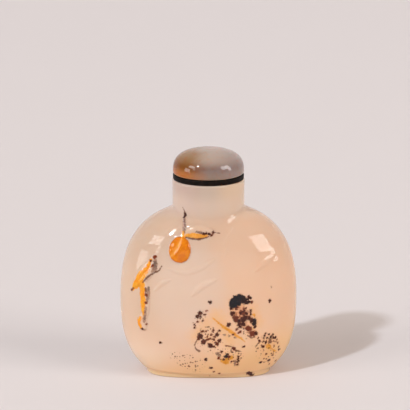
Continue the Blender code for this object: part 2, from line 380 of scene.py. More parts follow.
def coloured_forms():
    """The forms that the coloured skin of the stone was kept for, by name."""
    beside = ((-0.279, 0.755), (-0.179, 0.766), (-0.048, 0.769), (0.072, 0.766))
    upper = ((-0.590, 0.648), (-0.655, 0.590), (-0.742, 0.533), (-0.846, 0.472))
    lower = ((-0.733, 0.517), (-0.711, 0.469), (-0.711, 0.417), (-0.705, 0.354), (-0.697, 0.329))
    return {
        "fruit": fruit(),
        "stalk": stalk(),
        "bud": side_bud(),
        "leaf_beside_fruit": leaf(beside, LEAF_HALF_WIDTH, 0.95),
        "upper_side_leaf": leaf(upper, LEAF_HALF_WIDTH, 1.0),
        "lower_side_leaf": leaf(lower, LOWER_LEAF_HALF_WIDTH, 0.75),
    }


def ridge(spine, half, relief, rounding):
    """Soft low ridge in the plain stone."""

    def half_width(share):
        return np.maximum(0.25 * MM, half * swelling(share, 2.0))

    def swell(share, across):
        return dome(across)

    return Form(spine, half_width, swell, relief, edge=0.0, rounding=rounding)


def faint_forms():
    """Low relief in the plain stone: leaves and a long stem."""
    soft = 0.45 * MM
    spines = (
        (((0.263, 0.784), (0.215, 0.745), (0.190, 0.700), (0.150, 0.635)), 0.45 * MM, 0.09 * MM),
        (((-0.450, 0.590), (-0.270, 0.574), (-0.095, 0.597), (0.060, 0.640)), 0.9 * MM, 0.12 * MM),
        (((-0.600, 0.475), (-0.520, 0.513), (-0.430, 0.535)), 0.7 * MM, FAINT_RELIEF),
        (((-0.190, 0.458), (-0.070, 0.508), (0.080, 0.540)), 1.0 * MM, FAINT_RELIEF),
        (((0.520, 0.575), (0.620, 0.610), (0.730, 0.640)), 0.9 * MM, FAINT_RELIEF),
    )
    return [ridge(spine, half, relief, soft) for spine, half, relief in spines]


# Inclusions in the stone: spots as (x, z, radius, warmth) in millimetres on the front, where
# warmth 0 is blue-black, 0.5 is black-brown and 1 is red-brown

LONE_SPOTS = (
    (0.5, 23.8, 0.42, 0.5), (17.3, 23.2, 0.38, 0.6), (-13.5, 11.2, 0.36, 0.6),
    (17.7, 27.2, 0.12, 0.6),
)

SCATTERED_SPOTS = (
    (-2.4, 20.7, 0.45, 0.6), (-3.1, 19.6, 0.42, 0.5), (-2.2, 19.5, 0.35, 0.6),
    (-1.1, 20.1, 0.30, 0.8), (-0.4, 21.2, 0.24, 1.0), (-3.2, 18.0, 0.20, 1.0),
    (-3.9, 17.2, 0.24, 0.6), (-3.9, 16.3, 0.24, 0.6), (-1.7, 18.3, 0.18, 0.7),
)

# The mottled patch: its dark cap, the spots inside it, the smaller lobe and its surroundings
PATCH_CAP_SPOTS = (
    (7.2, 23.3, 1.15, 0.0), (8.0, 24.1, 1.00, 0.0), (8.9, 24.4, 0.85, 0.1),
    (9.7, 24.1, 0.75, 0.3), (10.3, 23.7, 0.50, 0.4), (6.7, 22.5, 0.60, 0.15),
    (8.4, 23.2, 0.70, 0.1), (10.8, 24.3, 0.36, 0.4), (10.9, 23.4, 0.42, 0.4),
    (11.2, 25.0, 0.30, 0.5), (11.7, 24.6, 0.36, 0.5), (11.3, 23.5, 0.42, 0.4),
    (12.2, 23.4, 0.24, 0.9), (8.6, 25.0, 0.90, 0.0), (7.6, 24.6, 0.90, 0.0),
    (6.8, 23.8, 0.80, 0.0), (6.5, 22.8, 0.70, 0.1), (9.6, 24.9, 0.60, 0.2),
    (6.4, 21.8, 0.45, 0.5),
)

PATCH_SPOTS = (
    (6.8, 20.4, 0.55, 0.6), (7.7, 21.5, 0.22, 0.8), (9.0, 21.2, 0.24, 0.9),
    (10.5, 21.7, 0.22, 0.8), (6.9, 19.2, 0.26, 0.8), (9.8, 20.3, 0.26, 1.0),
    (10.6, 20.1, 0.44, 0.6), (10.3, 19.0, 0.55, 0.5), (9.8, 18.1, 0.60, 0.5),
    (9.7, 17.3, 0.45, 0.55), (10.0, 16.9, 0.30, 0.6), (8.0, 19.1, 0.45, 0.85),
    (7.7, 18.2, 0.52, 0.8), (8.6, 17.1, 0.55, 0.65), (8.8, 16.4, 0.40, 0.6),
    (11.8, 21.0, 0.26, 0.6), (11.8, 20.4, 0.26, 0.6), (11.8, 19.8, 0.26, 0.6),
)

PATCH_LOBE_SPOTS = (
    (12.1, 18.0, 0.50, 0.6), (12.8, 18.0, 0.62, 0.3), (12.8, 17.1, 0.56, 0.3),
    (13.1, 16.0, 0.40, 0.5), (11.1, 15.7, 0.70, 0.9), (11.8, 15.7, 0.45, 0.9),
    (12.3, 14.0, 0.75, 0.9), (13.3, 14.0, 0.42, 0.6),
)

PATCH_EDGE_SPOTS = (
    (5.7, 17.1, 0.55, 0.7), (7.9, 15.5, 0.30, 0.9), (8.9, 14.9, 0.26, 0.9),
    (8.4, 14.6, 0.20, 0.9), (6.9, 14.0, 0.22, 0.8),
)

LEFT_ROSETTE_SPOTS = (
    (-0.4, 12.6, 0.30, 0.8), (0.9, 14.2, 0.32, 0.8), (1.9, 13.6, 0.24, 0.9),
    (-1.7, 15.1, 0.30, 0.8), (-0.6, 15.3, 0.22, 0.9), (-2.9, 12.8, 0.24, 0.8),
    (1.6, 10.6, 0.22, 0.8), (-2.3, 13.7, 0.72, 0.6), (-1.3, 12.0, 0.66, 0.7),
    (0.5, 10.9, 0.62, 0.6), (2.4, 14.2, 0.50, 0.6), (2.9, 15.4, 0.32, 0.7),
    (3.0, 12.4, 0.46, 0.7), (2.4, 11.4, 0.36, 0.8), (1.4, 12.8, 0.28, 0.8),
    (0.3, 13.1, 0.18, 0.9), (-0.3, 13.7, 0.18, 0.9), (1.4, 15.4, 0.24, 0.8),
    (1.9, 11.8, 0.18, 0.8), (-0.7, 6.6, 0.42, 0.6),
)

MIDDLE_ROSETTE_SPOTS = (
    (5.5, 8.1, 0.34, 0.4), (4.4, 6.5, 0.30, 0.6), (6.6, 5.6, 0.24, 0.8),
    (2.9, 7.0, 0.24, 0.8), (6.6, 8.8, 0.26, 0.7), (4.9, 7.4, 0.56, 0.3),
    (5.8, 7.3, 0.38, 1.0), (3.6, 8.9, 0.30, 0.7), (7.1, 9.9, 0.42, 0.8),
    (8.4, 7.2, 0.28, 0.6), (8.4, 6.5, 0.26, 0.6), (8.4, 5.7, 0.28, 0.6),
    (8.2, 4.6, 0.26, 0.6), (10.2, 10.4, 0.26, 0.4), (9.7, 10.3, 0.20, 0.5),
)

RIGHT_ROSETTE_SPOTS = (
    (14.4, 11.8, 0.26, 0.7), (14.1, 12.6, 0.20, 0.8), (16.2, 13.8, 0.24, 0.7),
    (18.2, 13.1, 0.24, 0.6), (19.3, 11.1, 0.22, 0.8), (16.2, 10.9, 0.30, 0.5),
    (18.6, 9.6, 0.20, 0.8), (16.3, 7.2, 0.20, 0.8), (15.6, 8.4, 0.18, 0.9),
    (18.1, 6.3, 0.22, 0.8), (15.8, 13.0, 0.28, 0.5), (15.4, 12.4, 0.24, 0.6),
    (16.6, 12.3, 0.34, 0.5), (17.1, 13.2, 0.20, 0.6), (17.7, 12.4, 0.44, 0.4),
    (18.9, 12.0, 0.38, 0.5), (18.3, 12.1, 0.26, 0.5), (15.4, 11.3, 0.22, 0.7),
    (15.4, 9.8, 0.34, 0.6), (19.6, 10.0, 0.24, 0.8), (20.0, 7.7, 0.32, 0.6),
    (19.9, 8.7, 0.18, 0.7), (13.9, 9.3, 0.20, 0.8), (14.9, 4.6, 0.40, 0.4),
    (17.1, 4.8, 0.40, 0.5), (19.1, 3.8, 0.24, 0.8), (17.3, 3.3, 0.20, 0.9),
)

FOOT_SPOTS = (
    (0.4, 3.7, 0.20, 0.6), (0.9, 3.7, 0.20, 0.6), (1.6, 2.4, 0.18, 0.8),
    (0.4, 1.1, 0.28, 0.7), (3.1, 1.7, 0.26, 0.9), (11.3, 1.3, 0.60, 0.5),
    (12.0, 0.9, 0.55, 0.5), (12.7, 0.7, 0.36, 0.5), (-5.5, 4.2, 0.18, 0.9),
)

LEAF_SPOTS = (
    (-6.6, 46.5, 0.34, 0.5), (-6.4, 47.0, 0.38, 0.5), (-6.5, 47.5, 0.26, 0.5),
    (-1.3, 42.6, 0.30, 0.5), (-0.7, 42.6, 0.30, 0.5), (0.2, 42.5, 0.34, 0.5),
    (1.3, 43.1, 0.20, 0.7), (0.8, 42.1, 0.20, 0.8), (-15.0, 35.8, 0.42, 1.0),
    (-15.4, 33.4, 0.30, 0.9), (-16.0, 34.6, 0.20, 0.8), (-17.3, 25.0, 0.34, 0.9),
    (-17.4, 22.7, 0.26, 1.0), (-21.6, 25.6, 0.28, 1.0), (-18.3, 14.8, 0.36, 0.6),
    (-17.4, 16.3, 0.22, 1.0),
)

DARK_SPOTS = (
    LONE_SPOTS + SCATTERED_SPOTS + PATCH_CAP_SPOTS + PATCH_SPOTS + PATCH_LOBE_SPOTS
    + PATCH_EDGE_SPOTS + LEFT_ROSETTE_SPOTS + MIDDLE_ROSETTE_SPOTS + RIGHT_ROSETTE_SPOTS
    + FOOT_SPOTS + LEAF_SPOTS
)

# Strokes of colour: each is a list of (x, z, half width) in millimetres on the front

OCHRE_STROKES = (
    ((-16.0, 35.0, 0.25), (-16.4, 33.9, 0.45), (-16.9, 32.4, 0.65), (-18.4, 30.6, 1.1)),
    ((-18.4, 30.6, 1.2), (-19.5, 28.6, 1.15), (-20.6, 26.8, 0.85), (-21.4, 25.8, 0.4)),
    ((-18.7, 28.2, 1.05), (-18.6, 27.2, 0.95), (-18.4, 25.6, 0.98), (-18.3, 24.4, 0.92)),
    ((-18.3, 24.4, 0.92), (-18.2, 22.4, 0.82), (-18.3, 20.3, 0.6), (-18.1, 19.2, 0.4)),
    ((-18.7, 18.1, 0.45), (-19.4, 17.1, 0.68), (-19.3, 16.0, 0.62), (-18.7, 15.2, 0.35)),
    ((-6.9, 41.9, 0.25), (-6.8, 41.4, 0.45)),
)

TAN_STROKES = (
    ((-7.0, 42.2, 0.34), (-6.9, 42.9, 0.28)),
    ((-6.3, 41.9, 0.3), (-5.1, 42.0, 0.5), (-3.9, 42.0, 0.7), (-2.6, 41.9, 0.7), (-1.2, 42.0, 0.5),
     (-0.2, 42.1, 0.25)),
    ((1.3, 19.1, 0.1), (2.7, 17.8, 0.18), (4.1, 16.6, 0.33), (5.8, 15.4, 0.37), (7.4, 14.1, 0.34)),
    ((7.4, 14.1, 0.3), (8.8, 13.1, 0.18), (10.3, 11.7, 0.05)),
    ((4.9, 5.7, 0.85), (4.0, 6.1, 0.55)),
    ((4.9, 5.9, 0.7), (5.4, 6.6, 0.6), (6.4, 7.1, 0.6)),
    ((16.9, 9.6, 0.72), (17.4, 9.1, 0.5)),
    ((17.6, 8.9, 0.16), (18.9, 7.5, 0.12)),
    ((11.9, 15.4, 0.35), (12.4, 15.5, 0.3)),
    ((12.4, 19.7, 0.22), (13.0, 19.5, 0.2), (12.9, 19.0, 0.16)),
)

SLATE_STROKES = (
    ((-6.9, 43.2, 0.26), (-6.8, 44.4, 0.24), (-6.8, 45.6, 0.2)),
    ((-3.6, 43.0, 0.12), (-2.5, 42.9, 0.36), (-1.7, 42.7, 0.34)),
    ((-14.9, 34.9, 0.3), (-14.9, 33.8, 0.6), (-14.9, 32.7, 0.55), (-15.6, 31.8, 0.25)),
    ((-16.8, 27.0, 0.28), (-16.8, 24.9, 0.30), (-17.1, 22.8, 0.20)),
    ((-17.4, 21.4, 0.20), (-17.5, 20.2, 0.30), (-17.7, 18.8, 0.32), (-17.9, 17.2, 0.22)),
    ((4.2, 14.1, 0.2), (4.7, 14.1, 0.22)),
    ((5.7, 13.8, 0.24), (6.0, 13.7, 0.24)),
    ((7.2, 13.3, 0.2), (7.5, 13.1, 0.2)),
    ((2.6, 8.3, 0.5), (3.0, 7.9, 0.5)),
    ((7.5, 5.8, 0.36), (7.5, 4.6, 0.26)),
    ((9.4, 23.5, 0.25), (9.9, 22.9, 0.2)),
)

BROWN_STROKES = (
    ((-6.4, 47.4, 0.16), (-6.7, 48.1, 0.12), (-7.2, 49.2, 0.08)),
    ((-6.55, 42.6, 0.1), (-6.5, 43.6, 0.1), (-6.5, 44.7, 0.12), (-6.6, 46.0, 0.2)),
    ((-6.4, 41.5, 0.1), (-4.8, 41.25, 0.16), (-3.0, 41.1, 0.18), (-1.2, 41.4, 0.16),
     (0.2, 42.0, 0.1)),
    ((0.6, 42.3, 0.14), (1.2, 42.6, 0.12), (1.5, 43.1, 0.12)),
    ((1.8, 42.9, 0.08), (3.1, 42.7, 0.05)),
    ((-13.1, 33.5, 0.1), (-13.8, 32.2, 0.16), (-15.2, 31.4, 0.2), (-16.4, 30.5, 0.18),
     (-17.5, 29.4, 0.18), (-18.2, 28.4, 0.12)),
    ((-17.4, 26.9, 0.2), (-17.35, 24.8, 0.3)),
    ((-21.0, 26.2, 0.2), (-21.7, 25.5, 0.22)),
    ((-0.4, 16.5, 0.12), (0.1, 16.5, 0.12)),
    ((-1.3, 15.6, 0.07), (-2.7, 14.5, 0.08)),
    ((-3.2, 12.6, 0.07), (-3.9, 11.0, 0.1), (-3.5, 9.8, 0.14), (-2.5, 9.1, 0.24)),
    ((4.9, 10.9, 0.14), (6.8, 10.3, 0.08)),
    ((7.1, 9.9, 0.3), (7.6, 9.3, 0.2), (9.2, 8.7, 0.12)),
    ((11.0, 13.6, 0.14), (12.0, 12.9, 0.16), (13.0, 13.1, 0.16)),
    ((17.4, 10.9, 0.5), (17.4, 11.4, 0.4)),
    ((18.2, 11.0, 0.16), (19.3, 10.5, 0.16)),
    ((14.6, 11.4, 0.1), (13.8, 10.7, 0.14), (13.4, 10.2, 0.16)),
)

# The dense part of the patch, where dark blotches leave little of the warm ground between them
MOTTLED_GROUNDS = (
    ((7.6, 23.2, 1.5), (8.2, 21.4, 2.0), (8.8, 19.4, 2.2), (9.4, 17.6, 1.5)),
    ((10.8, 19.8, 1.2), (11.6, 18.6, 0.8), (12.6, 17.4, 1.0)),
    ((9.6, 17.4, 1.0), (11.0, 15.9, 0.8), (12.6, 14.4, 0.9)),
)

AMBER_GROUNDS = (
    ((8.6, 22.0, 2.2), (8.7, 20.0, 2.4), (8.9, 18.0, 1.8)),
    ((12.2, 19.0, 0.9), (12.4, 17.0, 1.2), (12.2, 14.4, 1.3)),
    ((16.9, 10.5, 2.2), (17.6, 8.0, 2.0)),
    ((5.0, 6.6, 1.6), (6.4, 6.6, 1.6)),
    ((0.4, 13.4, 1.6), (1.4, 12.6, 1.4)),
    ((-4.0, 13.6, 1.2), (-0.5, 17.4, 2.2)),
    ((2.0, 19.6, 2.0), (4.2, 16.4, 2.4), (6.0, 12.5, 2.0)),
    ((12.2, 21.5, 1.2), (13.6, 17.5, 1.4)),
    ((2.4, 17.6, 0.5), (8.0, 12.9, 0.7)),
)

SPECKLED_GROUNDS = (
    ((-9.5, 7.4, 1.4), (-6.5, 6.0, 2.6), (-3.2, 4.4, 2.4)),
    ((0.2, 13.2, 3.6), (1.4, 11.6, 3.0)),
    ((-2.4, 19.8, 1.5), (-3.4, 17.4, 1.0)),
    ((5.2, 8.2, 3.0), (7.6, 7.0, 2.2)),
    ((16.6, 11.0, 2.6), (17.0, 6.4, 2.8)),
    ((13.6, 10.0, 1.2), (14.0, 8.0, 1.0)),
    ((9.0, 15.8, 1.2), (10.5, 13.4, 0.8)),
)

STROKES = {
    "ochre": OCHRE_STROKES,
    "tan": TAN_STROKES,
    "slate": SLATE_STROKES,
    "brown": BROWN_STROKES,
    "mottled": MOTTLED_GROUNDS,
    "amber": AMBER_GROUNDS,
    "speckled": SPECKLED_GROUNDS,
}


def spot_field(points):
    """Distance inside the nearest dark spot, and that spot's warmth."""
    inside = np.full(len(points), -1.0)
    warmth = np.full(len(points), 0.5)
    centres = front_points([(x * MM, z * MM) for x, z, _, _ in DARK_SPOTS])
    for centre, (_, _, radius, warm) in zip(centres, DARK_SPOTS):
        depth = radius * MM - np.linalg.norm(points - centre, axis=1)
        nearer = depth > inside
        inside = np.where(nearer, depth, inside)
        warmth = np.where(nearer, warm, warmth)
    return inside, warmth


def stroke_field(points, strokes):
    """Distance inside the nearest of some strokes that lie on the front."""
    inside = np.full(len(points), -1.0)
    for stroke in strokes:
        path = np.array(stroke) * MM
        ends = front_points(path[:, :2])
        for start, stop, from_half, to_half in zip(ends, ends[1:], path[:, 2], path[1:, 2]):
            along = stop - start
            share = np.clip((points - start) @ along / (along @ along), 0.0, 1.0)
            nearest = start + share[:, None] * along
            half = from_half + (to_half - from_half) * share
            inside = np.maximum(inside, half - np.linalg.norm(points - nearest, axis=1))
    return inside


# Mesh of the bottle

def column_angles():
    """Angles around the bottle, close together over the carved front."""
    front_edge = 0.12
    turn = np.linspace(-1.5 * np.pi, 0.5 * np.pi, FINE_STEPS + 1)
    radius = oval_radius(turn, BODY_WIDTH, BODY_DEPTH)
    outline = np.stack([radius * np.cos(turn), radius * np.sin(turn)], axis=1)
    lengths = np.linalg.norm(np.diff(outline, axis=0), axis=1)
    middle = (turn[1:] + turn[:-1]) / 2.0
    weights = lengths * np.where(np.sin(middle) < front_edge, 1.0, BACK_DENSITY)
    travelled = np.concatenate([[0.0], np.cumsum(weights)])
    return np.interp(np.arange(COLUMNS) / COLUMNS * travelled[-1], travelled, turn)


def even_heights(radius_at, low, high, count):
    """Heights that are evenly spread along the side profile of radius_at(angle, height)."""
    turn = np.linspace(0.0, np.pi, FINE_STEPS + 1)
    heights = low + (high - low) * (1.0 - np.cos(turn)) / 2.0
    radii = radius_at(np.zeros_like(heights), heights)
    sideways_weight = 0.6
    lengths = np.hypot(np.diff(heights), sideways_weight * np.diff(radii))
    travelled = np.concatenate([[0.0], np.cumsum(lengths)])
    return np.interp(np.linspace(0.0, travelled[-1], count), travelled, heights)


def quarter_turn(start, stop, steps, upright=False):
    """Rounded corner from one (radius, height) place to another.

    It leaves level and arrives upright, or the other way round where upright is set.
    """
    turns = np.linspace(0.0, np.pi / 2.0, steps + 1)
    early, late = np.sin(turns), 1.0 - np.cos(turns)
    outward, rise = (late, early) if upright else (early, late)
    radii = start[0] + (stop[0] - start[0]) * outward
    heights = start[1] + (stop[1] - start[1]) * rise
    return list(zip(radii.tolist(), heights.tolist()))


def level_row(radius, height):
    """Row of points at one height, with one radius for them all or one for each column."""
    return np.broadcast_to(radius, COLUMNS), np.full(COLUMNS, height)


def foot_ring_rows(angles):
    """Rows of points from the middle of the recess, round the foot ring and up to the body."""
    ring = oval_radius(angles, FOOT_WIDTH, FOOT_DEPTH, FOOT_FULLNESS)
    inner = FOOT_RING_WALL
    edge = 2.0 * FOOT_EDGE
    insets = [
        (inner + edge, FOOT_RECESS),
        (inner + edge / 2.0, FOOT_RECESS - edge / 4.0),
        (inner, FOOT_RECESS - edge),
        *quarter_turn((inner, edge), (inner - edge, 0.0), 3, upright=True),
        (0.55 * inner, 0.0),
        *quarter_turn((edge, 0.0), (0.0, edge), 4),
        (0.0, FOOT_HEIGHT),
    ]
    recess = ring - inner - edge
    rows = [level_row(share * recess, FOOT_RECESS) for share in (0.02, 0.25, 0.5, 0.75, 0.92)]
    return rows + [level_row(ring - inset, height) for inset, height in insets]


def outer_rows(angles):
    """Rows of points up the outside of the body and the neck, round the rim."""
    shoulder_top = WIDEST_HEIGHT + SHOULDER_REACH
    body = even_heights(outer_radius, FOOT_HEIGHT, shoulder_top, BODY_RINGS)
    neck = np.linspace(shoulder_top, RIM_HEIGHT - RIM_EDGE, NECK_RINGS + 1)[1:]
    rows = [level_row(outer_radius(angles, height), height) for height in (*body, *neck)]
    radius = NECK_DIAMETER / 2.0
    edge = quarter_turn(
        (radius, RIM_HEIGHT - RIM_EDGE), (radius - RIM_EDGE, RIM_HEIGHT), 4, upright=True)
    return rows + [level_row(*place) for place in edge[1:]]


def hollow_rows(angles):
    """Rows of points from the rim down the bore and the hollow, to its floor."""
    bore = BORE_DIAMETER / 2.0
    floor = FOOT_RECESS + FLOOR
    just_over_floor = floor + 0.01 * MM
    rows = [level_row((NECK_DIAMETER / 2.0 + bore) / 2.0, RIM_HEIGHT)]
    edge = quarter_turn((bore + BORE_EDGE, RIM_HEIGHT), (bore, RIM_HEIGHT - BORE_EDGE), 3)
    rows += [level_row(*place) for place in edge]
    top = RIM_HEIGHT - 2.0 * BORE_EDGE
    heights = even_heights(hollow_radius, just_over_floor, top, HOLLOW_RINGS)
    rows += [level_row(hollow_radius(angles, height), height) for height in reversed(heights)]
    lowest = rows[-1][0]
    return rows + [level_row(share * lowest, floor) for share in (0.7, 0.35, 0.03)]


def bottle_grid():
    """Smooth points of the bottle, rows by columns, and where its outside rows begin and end."""
    angles = column_angles()
    foot = foot_ring_rows(angles)
    outside = outer_rows(angles)
    rows = foot + outside + hollow_rows(angles)
    radii = np.array([radius for radius, _ in rows])
    heights = np.array([height for _, height in rows])
    points = np.stack([radii * np.cos(angles), radii * np.sin(angles), heights], axis=2)
    return points, len(foot), len(foot) + len(outside)


def grid_normals(points):
    """Unit normals of a closed grid of points, rows by columns, facing away from the axis."""
    across = np.roll(points, -1, axis=1) - np.roll(points, 1, axis=1)
    upward = np.gradient(points, axis=0)
    normals = np.cross(across, upward)
    return normals / np.maximum(np.linalg.norm(normals, axis=2), 1e-12)[:, :, None]


def hand_polish(points, first, last):
    """Slight unevenness that a hand-cut and polished outside keeps, as a height at each point.

    It stays within the solid's surface, and the rows next to the foot ring and the rim are even.
    """
    rows = slice(first + EVEN_FOOT_ROWS, last - EVEN_RIM_ROWS)
    skin = points[rows]
    waves = np.array([noise.noise(Vector(point) / POLISH_LENGTH) for point in skin.reshape(-1, 3)])
    waves = waves.reshape(skin.shape[:2]) * smooth_step(skin[:, :, 2], 2.0 * MM, 6.0 * MM)
    heights = np.zeros(points.shape[:2])
    heights[rows] = POLISH_DEPTH * (waves - 1.0)
    return heights


def carving(places, relief_scale):
    """Height of the carving at (x, z) places, the distance inside the fruit and its cleft."""
    lift = np.zeros(len(places))
    for form in faint_forms():
        lift = np.maximum(lift, form.measure(places)[0])
    forms = coloured_forms()
    for form in forms.values():
        lift = np.maximum(lift, form.measure(places)[0] * relief_scale)
    _, inside, along, across = forms["fruit"].measure(places)
    off_cleft = from_cleft(along, across) / (CLEFT_LINE * CLEFT_WIDTH)
    return lift, inside, np.exp(-(off_cleft**2)) * (inside > 0.0)


def place_object(name, data):
    """New object that holds a mesh, a light or a camera, linked to the scene."""
    obj = bpy.data.objects.new(name, data)
    bpy.context.scene.collection.objects.link(obj)
    return obj


def place_mesh(name, vertices, faces):
    """New smooth object from points and faces, linked to the scene."""
    mesh = bpy.data.meshes.new(name)
    mesh.from_pydata([tuple(v) for v in vertices], [], [tuple(f) for f in faces])
    mesh.validate()
    mesh.shade_smooth()
    return place_object(name, mesh)


def grid_faces(rows, columns):
    """Quads of a grid that is closed around, with its first and last rows capped."""
    index = np.arange(rows * columns).reshape(rows, columns)
    after = np.roll(index, -1, axis=1)
    quads = np.stack([index[:-1], after[:-1], after[1:], index[1:]], axis=2).reshape(-1, 4)
    return [*quads.tolist(), index[0][::-1].tolist(), index[-1].tolist()]


def bottle_mesh(relief_scale):
    """The bottle with its relief, and the fields that its stone is coloured by."""
    points, first, last = bottle_grid()
    normals = grid_normals(points)
    coloured = np.zeros(points.shape[:2], bool)
    coloured[:last] = points[0, :, 1] < 0.0
    carved = coloured.copy()
    carved[:first] = False
    skin = points[coloured]
    lift, inside_fruit, cleft = carving(points[carved][:, (0, 2)], relief_scale)
    points += normals * hand_polish(points, first, last)[:, :, None]
    points[carved] += normals[carved] * lift[:, None]
    obj = place_mesh("agate_bottle", points.reshape(-1, 3), grid_faces(*points.shape[:2]))

    def store(name, values, mask, elsewhere=FAR_OUTSIDE):
        """Stores a value for each point that the mask holds, and one value for all the others."""
        field = np.full(points.shape[:2], elsewhere)
        field[mask] = np.maximum(values, FAR_OUTSIDE)
        layer = obj.data.attributes.new(name, "FLOAT", "POINT")
        layer.data.foreach_set("value", field.ravel().astype(np.float32))

    dark, warmth = spot_field(skin)
    store("fruit", inside_fruit / MM, carved)
    store("cleft", cleft, carved, 0.0)
    store("dark", dark / MM, coloured)
    store("warmth", warmth, coloured, 0.5)
    for name, strokes in STROKES.items():
        store(name, stroke_field(skin, strokes) / MM, coloured)
    return obj


# Materials

class Finish:
    """A node material under construction, with short ways to add and join its nodes."""

    def __init__(self, name):
        self.material = bpy.data.materials.new(name)
        self.material.use_nodes = True
        self.tree = self.material.node_tree
        self.shader = self.tree.nodes["Principled BSDF"]

    def add(self, kind, sockets=None, **settings):
        """New node; sockets are set or linked by name or number."""
        node = self.tree.nodes.new(kind)
        for key, value in settings.items():
            setattr(node, key, value)
        for key, value in (sockets or {}).items():
            self.put(node.inputs[key], value)
        return node

    def put(self, socket, value):
        """Links an output to a socket, or sets its value."""
        if isinstance(value, bpy.types.NodeSocket):
            self.tree.links.new(value, socket)
        else:
            socket.default_value = (*value, 1.0) if socket.type == "RGBA" else value

    def shade(self, **sockets):
        """Sets or links the shader's sockets, with _ for each space in a name."""
        for key, value in sockets.items():
            self.put(self.shader.inputs[key.replace("_", " ")], value)

    def position(self):
        """Place on the object, in metres."""
        return self.add("ShaderNodeTexCoord").outputs["Object"]

    def field(self, name):
        """A number stored on the mesh."""
        return self.add("ShaderNodeAttribute", attribute_name=name).outputs["Fac"]

    def axes(self, place):
        """The three coordinates of a place."""
        node = self.add("ShaderNodeSeparateXYZ", {"Vector": place})
        return node.outputs["X"], node.outputs["Y"], node.outputs["Z"]

    def maths(self, operation, first, second=0.0, third=0.0):
        """One sum on one to three values."""
        node = self.add("ShaderNodeMath", {0: first, 1: second, 2: third}, operation=operation)
        return node.outputs[0]

    def times(self, first, second):
        """Product of two values."""
        return self.maths("MULTIPLY", first, second)

    def scaled(self, value, factor, offset):
        """A value times a factor, plus an offset."""
        return self.maths("MULTIPLY_ADD", value, factor, offset)

    def along(self, value, low, high):
        """Runs evenly from 0 at low to 1 at high, and on past both."""
        return self.scaled(value, 1.0 / (high - low), low / (low - high))

    def off_centre(self, axis, centre, reach):
        """Squared distance from a centre, where the reach counts as 1."""
        return self.maths("POWER", self.along(axis, centre, centre + reach), 2.0)

    def step(self, value, low, high):
        """Rises smoothly from 0 at low to 1 at high."""
        node = self.add(
            "ShaderNodeMapRange",
            {"Value": value, "From Min": low, "From Max": high},
            interpolation_type="SMOOTHSTEP",
        )
        return node.outputs[0]

    def fall(self, value, low, high):
        """Falls smoothly from 1 at low to 0 at high."""
        return self.maths("SUBTRACT", 1.0, self.step(value, low, high))

    def noise(self, vector, scale, detail=3.0, roughness=0.55, distortion=0.0):
        """Soft noise from 0 to 1."""
        node = self.add("ShaderNodeTexNoise", {
            "Vector": vector, "Scale": scale, "Detail": detail, "Roughness": roughness,
            "Distortion": distortion,
        })
        return node.outputs["Fac"]

    def mix(self, share, first, second, blend="MIX"):
        """Mix of two colours."""
        node = self.add("ShaderNodeMix", data_type="RGBA", blend_type=blend)
        self.put(node.inputs[0], share)
        self.put(node.inputs[6], first)
        self.put(node.inputs[7], second)
        return node.outputs[2]

    def lay(self, colour, cover, tone, strength):
        """A tone laid thinly over a colour, where the cover runs from 0 to 1."""
        return self.mix(self.times(cover, strength), colour, tone)

    def ramp(self, value, stops):
        """Colours that ease into each other along a value, listed as (place, colour)."""
        node = self.add("ShaderNodeValToRGB", {"Fac": value})
        node.color_ramp.interpolation = "EASE"
        elements = node.color_ramp.elements
        while len(elements) < len(stops):
            elements.new(0.5)
        for element, (place, colour) in zip(elements, stops):
            element.position = place
            element.color = (*colour, 1.0)
        return node.outputs["Color"]

    def bump(self, height, distance, strength):
        """Normals from a height from 0 to 1."""
        sockets = {"Height": height, "Distance": distance, "Strength": strength}
        return self.add("ShaderNodeBump", sockets).outputs["Normal"]


